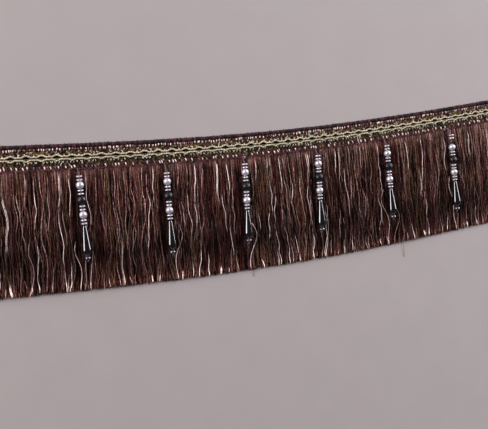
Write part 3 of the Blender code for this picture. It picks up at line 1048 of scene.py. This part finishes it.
class TRIM_OT_pale_threads(bpy.types.Operator):
    """Lay the cream threads that surface and dip among the yarns"""

    bl_idname = "trim.pale_threads"
    bl_label = "Pale Threads"

    def execute(self, context):
        settings = context.scene.trim.fringe
        draw = np.random.default_rng(settings.seed + 50)
        count = settings.pale_threads
        along = LENGTH * ((np.arange(count) + draw.uniform(-0.4, 1.4, count)) / count - 0.5)
        along = along[(drop_distance(along) > 0.0058) & (np.abs(along) < LENGTH / 2)]
        count = len(along)
        clumping = 0.1 * settings.clumping
        paths = hanging_paths(along, PALE_STEPS, 0.0021, 1.3, settings.uneven, clumping, PALE_R, draw)
        share = np.linspace(0, 1, PALE_STEPS)[None]
        phase = draw.uniform(0, 2 * math.pi, count)[:, None]
        turns = draw.uniform(0.7, 2.8, count)[:, None]
        surfacing = np.sin(phase + 2 * math.pi * turns * share) + 0.45 * np.sin(2.3 * phase + 9 * share)
        # Two in five lie on top nearly all the way, the others come up only here and there.
        long = (draw.uniform(0, 1, count) < 0.40)[:, None]
        on_top = np.where(long, 0.0030, 0.0022)
        swing = np.where(long, 0.0006, 0.0012)
        high = on_top + swing * surfacing - 0.0007 * np.exp(-(((share - 0.80) / 0.10) ** 2)) - 0.0008 * share**3
        # The cut end springs up.
        high = high + 0.0012 * np.clip((share - 0.92) / 0.05, 0, 1)
        ends = np.clip(share * 12, 0, 1)
        paths[:, :, 2] = np.clip(high * ends + 0.0013 * (1 - ends), PALE_R * 1.05, 0.0034)
        # Small kinks from lying crushed in the pack.
        kinks = np.cumsum(draw.normal(0, 1, (count, PALE_STEPS)), axis=1)
        paths[:, :, 0] += 0.00016 * (kinks - kinks.mean(axis=1, keepdims=True)) * np.minimum(1, 5 * share)
        # One in twelve has another beside it all the way down.
        partner = paths[5::12] + (0.0008, 0.0, 0.0)
        paths = np.concatenate([paths, partner, self.parted(draw)])
        count = len(paths)
        # Spun cream viscose with a pinkish cast, glossier than the yarns round it.
        # Tones along the thread from root to tip: painted shade, darkest low down, and paler at the cut end.
        shades = ((0.0, 0.9), (0.12, 1.15), (0.35, 1.0), (0.55, 0.8), (0.75, 0.65), (0.92, 0.85), (0.97, 1.7))
        material = yarn_material(
            "cream_viscose_thread", (tuple(settings.cream), linear("#9C8079")), tones=(0.75, 1.3),
            painted_shade_along=shades, streaks=24.0, depth=0.5, Roughness=0.38,
        )
        colour = draw.choice(2, count, p=(0.6, 0.4))
        keys = tone_key(colour, draw.uniform(0, 1, count), (0, 1))
        ride(yarn_piece("pale_threads", paths, PALE_R, keys, 4, material), "yarn", "fringe")
        self.stray()
        return {"FINISHED"}

    def stray(self):
        """Two fine threads that were cut longer and stick out below the fringe."""
        # Dull dark viscose singles.
        material = yarn_material(
            "dark_viscose_thread", (linear("#4A3A38"),), tones=(0.9, 1.1), painted_shade_along=EVEN,
            streaks=30.0, depth=0.4, Roughness=0.5,
        )
        share = np.linspace(0, 1, 25)
        for number, (drop, beside, reach) in enumerate(STRAY_ROWS):
            along = drop_along(drop) + beside + 0.0012 * np.sin(3.0 * share + drop)
            across = FRINGE_LOW - 0.02 + (-FRINGE_REACH - reach - FRINGE_LOW + 0.02) * share
            high = np.clip(0.0030 - 0.0042 * np.maximum(0, share - 0.35), 0.00018, 1)
            keys = tone_key(np.array([0]), np.array([0.5]), (0,))
            path = place(along, across, high)[None]
            ride(yarn_piece(f"stray_thread_{number + 1}", path, STRAY_R, keys, 4, material), "yarn", "fringe")

    def parted(self, draw):
        """Threads that part round a teardrop and drift back below it, different at each drop."""
        share = np.linspace(0, 1, PALE_STEPS)
        found = []
        for number in range(DROPS):
            for side in draw.choice([-1, 1], draw.integers(1, 3), p=(0.35, 0.65)):
                start, size = draw.uniform(0.40, 0.66), draw.uniform(0.9, 1.8)
                bulge = np.exp(-(((share - start - draw.uniform(0.10, 0.22)) / 0.12) ** 2))
                curl = np.sin(2 * math.pi * share * draw.uniform(1.5, 3.2) + draw.uniform(0, 6))
                foot = draw.uniform(0.0004, 0.0055)
                along = drop_along(number) + side * (foot + 0.0030 * size * bulge) + 0.0013 * curl * share
                across = FRINGE_START + (-FRINGE_REACH - FRINGE_START) * share
                shown = np.clip((share - start) / 0.06, 0, 1)
                high = 0.0010 + 0.0019 * shown - 0.0008 * np.clip((share - 0.85) / 0.15, 0, 1)
                found.append(place(along, across, np.maximum(high, PALE_R * 1.05)))
        return np.stack(found)


# Drops.

# The hanging threads: the lay of their two plies, and how far each dives into the heading where it is sewn on.
THREAD_LAY = 0.0017
THREAD_DIVE = 0.0012

# The beads: where a teardrop's shoulder starts in its round, the width of a facet's worn edge, how far each disc is
# turned against the one before, and how far a bead may lie from its solid.
SHOULDER_TURN = 0.35
FACET_BEVEL = 0.00006
DISC_TURN = 0.9
PLACE_TOLERANCE = 0.0006

# How many cells of each pattern lie in a metre: clouds in the glass 1.1 mm wide and in the nacre 1.4 mm wide, and
# tumbling marks 0.45 mm wide, coarser than the real ones so that they show.
GLASS_CLOUDS = 900.0
NACRE_CLOUDS = 700.0
TUMBLING_MARKS = 2200.0

# A Mix node has several sockets of one name, one to a type of value, so its colours are found by number.
MIX_FIRST, MIX_SECOND, MIX_RESULT = 6, 7, 2


def turned_bead(name, rings, sides, twist=0.0):
    """A bored bead shaped ring by ring down its outside, then closed through the bore.

    Each ring is (radius, height). A twist turns each ring against the one before, for lozenge facets.
    """
    deselect()
    radius, high = rings[0]
    bpy.ops.mesh.primitive_circle_add(vertices=sides, radius=radius, location=(0, 0, high))
    bpy.ops.object.transform_apply(location=True)
    bead = bpy.context.object
    bpy.ops.object.mode_set(mode="EDIT")
    bpy.ops.mesh.select_all(action="SELECT")
    for next_radius, next_high in rings[1:]:
        bpy.ops.mesh.extrude_region_move(TRANSFORM_OT_translate={"value": (0, 0, next_high - high)})
        grow = next_radius / radius
        bpy.ops.transform.resize(value=(grow, grow, 1), center_override=(0, 0, next_high))
        if twist:
            bpy.ops.transform.rotate(value=twist, orient_axis="Z", center_override=(0, 0, next_high))
        radius, high = next_radius, next_high
    bpy.ops.mesh.select_all(action="DESELECT")
    bpy.ops.mesh.select_non_manifold()
    bpy.ops.mesh.bridge_edge_loops()
    bpy.ops.mesh.select_all(action="SELECT")
    if twist:
        bpy.ops.mesh.quads_convert_to_tris()
    bpy.ops.mesh.normals_make_consistent(inside=False)
    bpy.ops.object.mode_set(mode="OBJECT")
    bead.name = name
    return bead


def round_rings(radius, length, bore, count):
    """Rings of a round bead from its upper hole to its lower one."""
    start = math.asin(bore / radius)
    stretch = length / 2 / (radius * math.cos(start))
    angles = np.linspace(start, math.pi - start, count)
    return [(radius * math.sin(a), stretch * radius * math.cos(a)) for a in angles]


def teardrop_rings(bore):
    """Rings of the teardrop: a rounded shoulder, a long cone, and a round foot."""
    centre = -(TEAR_LENGTH - TEAR_R)
    slope = math.asin((TEAR_R - TEAR_TOP_R) / (-centre - TEAR_SHOULDER))
    touch = math.pi / 2 - slope
    hole = math.pi - math.asin(bore / TEAR_R)
    crown = 2 * TEAR_SHOULDER
    angles = np.linspace(SHOULDER_TURN, touch, 9)
    shoulder = [(TEAR_TOP_R * math.sin(a), crown * (math.cos(a) - math.cos(SHOULDER_TURN))) for a in angles]
    first = np.array(shoulder[-1])
    last = np.array((TEAR_R * math.sin(touch), centre + TEAR_R * math.cos(touch)))
    cone = [tuple(first + (last - first) * share) for share in np.linspace(0, 1, 24)[1:-1]]
    ball = [(TEAR_R * math.sin(a), centre + TEAR_R * math.cos(a)) for a in np.linspace(touch, hole, 18)]
    return [tuple(map(float, ring)) for ring in [(bore, -0.0001)] + shoulder[1:] + cone + ball]


def disc_rings(radius, bore):
    """Rings of a disc: a flat face, a rounded rim, and the same again below."""
    half = DISC_THICK / 2 * 0.82
    upper = [(bore, half * 0.9), (radius * 0.55, half), (radius * 0.86, half * 0.92), (radius * 0.98, half * 0.5)]
    lower = [(ring_radius, -high) for ring_radius, high in reversed(upper)]
    return [*upper, (radius, 0.0), *lower]


def placed_copy(template, name, matrix):
    """A copy with its own mesh, put in place and applied, so that its object stays at the origin."""
    deselect()
    template.select_set(True)
    bpy.context.view_layer.objects.active = template
    bpy.ops.object.duplicate()
    copy = bpy.context.object
    copy.matrix_world = matrix
    bpy.ops.object.transform_apply(location=True, rotation=True, scale=True)
    copy.name = name
    copy.data.name = name
    return copy


def check_place(piece, node):
    """Stops where a bead has come away from the solid that it stands for."""
    low, high = (Vector(corner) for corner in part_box(node))
    corners = [Vector(corner) for corner in piece.bound_box]
    middle = (Vector(map(min, *corners)) + Vector(map(max, *corners))) / 2
    distance = (middle - (low + high) / 2).length
    if distance > PLACE_TOLERANCE:
        raise RuntimeError(f"{piece.name} is {distance:.4f} m away from {node}")


def string_beads(template, label, station, slot):
    """A copy of a bead on each drop, then the template goes."""
    for number in range(DROPS):
        matrix = drop_matrix(number) @ Matrix.Translation((0, 0, -string_stations(number)[station]))
        node = f"{station}_{number + 1}"
        piece = placed_copy(template, f"{label}_{number + 1}", matrix)
        check_place(piece, node)
        ride(piece, slot, node)
    bpy.data.objects.remove(template, do_unlink=True)


def glass_material(name, colour, cloud, roughness, ior, coat):
    """Dark bead glass: its colour with faint paler clouding under the gloss, and a clear glaze over it."""
    material, tree, shader = new_material(
        name, Roughness=roughness, IOR=ior, Coat_Weight=coat, Coat_Roughness=0.02, Coat_IOR=1.6
    )
    spot = add_node(tree, "TexCoord").outputs["Object"]
    clouds = add_node(tree, "TexNoise", inputs={"Vector": spot, "Scale": GLASS_CLOUDS, "Detail": 2.0})
    mix = add_node(
        tree, "Mix", {"data_type": "RGBA"},
        {"Factor": clouds.outputs[0], MIX_FIRST: opaque(linear(colour)), MIX_SECOND: opaque(linear(cloud))},
    )
    tree.links.new(mix.outputs[MIX_RESULT], shader.inputs["Base Color"])
    return material


class TRIM_OT_hanging_threads(bpy.types.Operator):
    """Sew on the twisted threads that carry the beads"""

    bl_idname = "trim.hanging_threads"
    bl_label = "Hanging Threads"

    def execute(self, context):
        # Waxed polyester beading thread, two plies, lilac brown with a faint shine.
        material = yarn_material(
            "waxed_beading_thread", (linear("#6A565C"), linear("#4A3A40")), tones=(0.85, 1.15), painted_shade_along=EVEN,
            streaks=60.0, depth=0.38, Roughness=0.4,
        )
        free = DISC_THICK / 2
        seat = RIB_TOP + GAP + THREAD_R
        for number in range(DROPS):
            stations = string_stations(number)
            upper = stations["edge"] + THREAD_SEAT
            descent = AXIS_HIGH - upper * math.sin(AXIS_TILT) - seat
            up = np.linspace(upper + THREAD_DIVE, -stations["foot"] - 0.0006, 220)
            share = np.clip((up - free) / (stations["edge"] - free), 0, 1)
            dive = np.clip((up - upper) / THREAD_DIVE, 0, 1)
            local = np.stack([0 * up, descent * share + THREAD_DIVE * dive**1.5, up], axis=1)
            matrix = np.array(drop_matrix(number))
            path = local @ matrix[:3, :3].T + matrix[:3, 3]
            paths = plied(path, 2, 0.00020, THREAD_LAY)
            keys = tone_key(np.array([0, 1]), np.array([0.5, 0.5]), (0, 1))
            piece = yarn_piece(f"hanging_thread_{number + 1}", paths, 0.00024, keys, 6, material)
            ride(piece, "silver_discs", f"thread_{number + 1}")
        return {"FINISHED"}


class TRIM_OT_silver_discs(bpy.types.Operator):
    """String the pairs of silver spacer discs"""

    bl_idname = "trim.silver_discs"
    bl_label = "Silver Discs"

    def execute(self, context):
        settings = context.scene.trim.beads
        disc = turned_bead("silver_disc", disc_rings(settings.disc_radius, settings.bore), sides=16)
        deselect()
        disc.select_set(True)
        bpy.context.view_layer.objects.active = disc
        bpy.ops.object.shade_smooth_by_angle(angle=math.radians(18))
        # Silver plate over pressed brass: bright, with fine tumbling marks that break up its shine.
        material, tree, shader = new_material(
            "silver_plated_brass", Metallic=0.85, Base_Color=opaque(settings.silver)
        )
        spot = add_node(tree, "TexCoord").outputs["Object"]
        marks = add_node(tree, "TexNoise", inputs={"Vector": spot, "Scale": TUMBLING_MARKS, "Detail": 2.0})
        rough = add_node(tree, "MapRange", inputs={"Value": marks.outputs[0], "To Min": 0.32, "To Max": 0.52})
        tree.links.new(rough.outputs[0], shader.inputs["Roughness"])
        disc.data.materials.append(material)
        for number in range(DROPS):
            stations = string_stations(number)
            spots = [-first - extra for first in stations["pairs"] for extra in (0.0, DISC_PITCH)]
            copies = []
            for index, spot_high in enumerate(spots):
                turn = Matrix.Rotation(DISC_TURN * index, 4, "Z")
                matrix = drop_matrix(number) @ Matrix.Translation((0, 0, spot_high)) @ turn
                copies.append(placed_copy(disc, f"disc_{number + 1}_{index + 1}", matrix))
            deselect()
            for copy in copies:
                copy.select_set(True)
            bpy.context.view_layer.objects.active = copies[0]
            bpy.ops.object.join()
            piece = bpy.context.object
            piece.name = f"silver_discs_{number + 1}"
            piece.data.name = piece.name
            ride(piece, "silver_discs", f"thread_{number + 1}")
        bpy.data.objects.remove(disc, do_unlink=True)
        return {"FINISHED"}


class TRIM_OT_pearls(bpy.types.Operator):
    """String the upper and lower pearls"""

    bl_idname = "trim.pearls"
    bl_label = "Pearls"

    def execute(self, context):
        settings = context.scene.trim.beads
        # Glass pearl: a nacre lacquer over glass, milky with a lilac cast and one broad soft highlight.
        material, tree, shader = new_material(
            "nacre_lacquered_glass", Metallic=0.5, Roughness=0.30, Coat_Weight=0.7, Coat_Roughness=0.15
        )
        spot = add_node(tree, "TexCoord").outputs["Object"]
        clouds = add_node(tree, "TexNoise", inputs={"Vector": spot, "Scale": NACRE_CLOUDS, "Detail": 3.0})
        stops = [(0.3, linear("#B1ACB5")), (0.5, settings.pearl), (0.7, linear("#D2CCD1"))]
        tint = add_node(tree, "ValToRGB", inputs={"Fac": clouds.outputs[0]}, stops=stops)
        tree.links.new(tint.outputs["Color"], shader.inputs["Base Color"])
        for station in ("pearl_upper", "pearl_lower"):
            pearl = turned_bead("pearl", round_rings(PEARL_R, 2 * PEARL_R, settings.bore, count=19), sides=32)
            pearl.data.materials.append(material)
            pearl.data.shade_smooth()
            string_beads(pearl, f"glass_{station}", station, "pearl")
        return {"FINISHED"}


class TRIM_OT_black_beads(bpy.types.Operator):
    """String the round faceted beads and the long teardrops"""

    bl_idname = "trim.black_beads"
    bl_label = "Black Beads"

    def execute(self, context):
        settings = context.scene.trim.beads
        # Cut glass whose facets have worn half dull, and pressed glass that came out of its mould glossy.
        cut = glass_material("black_cut_glass", "#040405", "#0C0B0F", roughness=0.38, ior=1.42, coat=0.0)
        pressed = glass_material("black_pressed_glass", "#040304", "#08070A", roughness=0.10, ior=1.6, coat=0.5)
        sides = 12
        rings = round_rings(BLACK_R, BLACK_LENGTH, settings.bore, count=9)
        bead = turned_bead("black_bead", rings, sides, twist=math.pi / sides)
        bead.data.materials.append(cut)
        bevel = bead.modifiers.new("facet_edges", "BEVEL")
        bevel.width = FACET_BEVEL
        bevel.segments = 1
        deselect()
        bpy.context.view_layer.objects.active = bead
        bpy.ops.object.modifier_apply(modifier=bevel.name)
        string_beads(bead, "faceted_bead", "black_bead", "black_bead")
        drop = turned_bead("teardrop", teardrop_rings(settings.bore), sides=40)
        drop.data.materials.append(pressed)
        drop.data.shade_smooth()
        string_beads(drop, "glass_teardrop", "teardrop", "black_bead")
        return {"FINISHED"}


class TRIM_OT_end_beads(bpy.types.Operator):
    """String the small dark beads that stop the threads"""

    bl_idname = "trim.end_beads"
    bl_label = "End Beads"

    def execute(self, context):
        settings = context.scene.trim.beads
        # Smoky pressed glass, lustred on its face: one soft highlight on a dark grey bead.
        material = glass_material("smoke_pressed_glass", "#1C1A20", "#3A3742", roughness=0.24, ior=1.8, coat=0.6)
        bead = turned_bead("end_bead", round_rings(END_R, END_LENGTH, settings.bore, count=13), sides=24)
        bead.data.materials.append(material)
        bead.data.shade_smooth()
        string_beads(bead, "smoke_end_bead", "end_bead", "smoke_bead")
        return {"FINISHED"}


# Stage.

# The soft lights: name, place, aim, width and height, watts and colour.
LIGHTS = (
    ("left_softbox", (-2.01, 0.82, 0.63), (0, -0.05, 0), (1.95, 1.2), 81.0, (1.0, 0.95, 0.97)),
    ("right_softbox", (2.04, 0.90, 0.93), (0, 0.02, 0), (1.8, 1.42), 103.0, (0.94, 0.955, 1.0)),
    ("back_softbox", (0.15, 1.95, 1.42), (0, 0, 0), (2.4, 0.75), 7.0, (1.0, 0.98, 0.98)),
)

# The dim room that fills the shadows, the backdrop that only the lens sees, and the floor's side in metres.
ROOM_STRENGTH = 0.18
BACKDROP_STRENGTH = 0.75
FLOOR_SIZE = 8.0

# The floor's paper is mottled in clouds 33 mm wide, 30 to the metre.
PAPER_CLOUDS = 30.0

# The camera's sensor is 36 mm wide.
SENSOR_WIDTH = 36.0


def softbox(name, spot, aim, size, power, colour):
    """A round-cornered soft light turned to face a point, kept out of the camera's own sight."""
    light = bpy.data.lights.new(name, "AREA")
    light.shape = "ELLIPSE"
    light.size, light.size_y = size
    light.energy = power
    light.color = colour
    lamp = bpy.data.objects.new(name, light)
    bpy.context.scene.collection.objects.link(lamp)
    lamp.location = spot
    lamp.rotation_euler = (Vector(aim) - Vector(spot)).to_track_quat("-Z", "Y").to_euler()
    lamp.visible_camera = False
    return lamp


def aim_camera(settings):
    """Sets the camera at its place, looking at its aim, with its roll."""
    camera = bpy.data.objects.new("camera", bpy.data.cameras.new("camera"))
    bpy.context.scene.collection.objects.link(camera)
    spot, aim = Vector(settings.camera_spot), Vector(settings.camera_aim)
    back = (spot - aim).normalized()
    upright = Vector((math.sin(settings.camera_roll), math.cos(settings.camera_roll), 0.0))
    right = upright.cross(back).normalized()
    turn = Matrix((right, back.cross(right), back)).transposed()
    camera.matrix_world = Matrix.Translation(spot) @ turn.to_4x4()
    camera.data.lens = settings.lens
    camera.data.sensor_width = SENSOR_WIDTH
    bpy.context.scene.camera = camera


class TRIM_OT_stage(bpy.types.Operator):
    """Set the floor, the soft lights and the camera"""

    bl_idname = "trim.stage"
    bl_label = "Stage"

    def execute(self, context):
        settings = context.scene.trim.stage
        deselect()
        bpy.ops.mesh.primitive_plane_add(size=FLOOR_SIZE, location=(0, 0, 0))
        floor = context.object
        floor.name = "floor"
        # Matte paper sheet, pale and even.
        material, tree, shader = new_material("matte_paper", Roughness=0.9)
        spot = add_node(tree, "TexCoord").outputs["Object"]
        clouds = add_node(tree, "TexNoise", inputs={"Vector": spot, "Scale": PAPER_CLOUDS, "Detail": 4.0})
        base = Vector(settings.floor)
        stops = [(0.35, base * 0.985), (0.65, base * 1.015)]
        tint = add_node(tree, "ValToRGB", inputs={"Fac": clouds.outputs[0]}, stops=stops)
        tree.links.new(tint.outputs["Color"], shader.inputs["Base Color"])
        floor.data.materials.append(material)
        for light in LIGHTS:
            softbox(*light)
        world = bpy.data.worlds.new("studio")
        world.use_nodes = True
        context.scene.world = world
        fill = world.node_tree.nodes["Background"]
        fill.inputs["Color"].default_value = opaque(linear("#C4BBBB"))
        # The lens sees a pale backdrop behind the floor, brighter than the dim room that fills the shadows.
        sight = add_node(world.node_tree, "LightPath").outputs["Is Camera Ray"]
        strengths = {"To Min": ROOM_STRENGTH, "To Max": BACKDROP_STRENGTH}
        level = add_node(world.node_tree, "MapRange", inputs={"Value": sight, **strengths})
        world.node_tree.links.new(level.outputs[0], fill.inputs["Strength"])
        context.scene.view_settings.view_transform = "Standard"
        aim_camera(settings)
        return {"FINISHED"}


class TRIM_PT_panel(bpy.types.Panel):
    """Lists the steps that dress the trim"""

    bl_label = "Beaded Fringe Trim"
    bl_idname = "TRIM_PT_panel"
    bl_space_type = "VIEW_3D"
    bl_region_type = "UI"
    bl_category = "Trim"

    def draw(self, context):
        for operator in OPERATORS:
            self.layout.operator(operator.bl_idname)


OPERATORS = (
    TRIM_OT_stage,
    TRIM_OT_ground_cloth,
    TRIM_OT_edge_loops,
    TRIM_OT_braid_stitches,
    TRIM_OT_chain_cords,
    TRIM_OT_fringe_yarns,
    TRIM_OT_pale_threads,
    TRIM_OT_hanging_threads,
    TRIM_OT_silver_discs,
    TRIM_OT_pearls,
    TRIM_OT_black_beads,
    TRIM_OT_end_beads,
)
SETTINGS = (TrimHeadingSettings, TrimFringeSettings, TrimBeadSettings, TrimStageSettings, TrimSettings)


def register():
    for part in (*SETTINGS, *OPERATORS, TRIM_PT_panel):
        bpy.utils.register_class(part)
    bpy.types.Scene.trim = PointerProperty(type=TrimSettings)


def unregister():
    del bpy.types.Scene.trim
    for part in (TRIM_PT_panel, *reversed(OPERATORS), *reversed(SETTINGS)):
        bpy.utils.unregister_class(part)


def main():
    register()
    for operator in OPERATORS:
        group, name = operator.bl_idname.split(".")
        getattr(getattr(bpy.ops, group), name)()


if __name__ == "__main__":
    main()
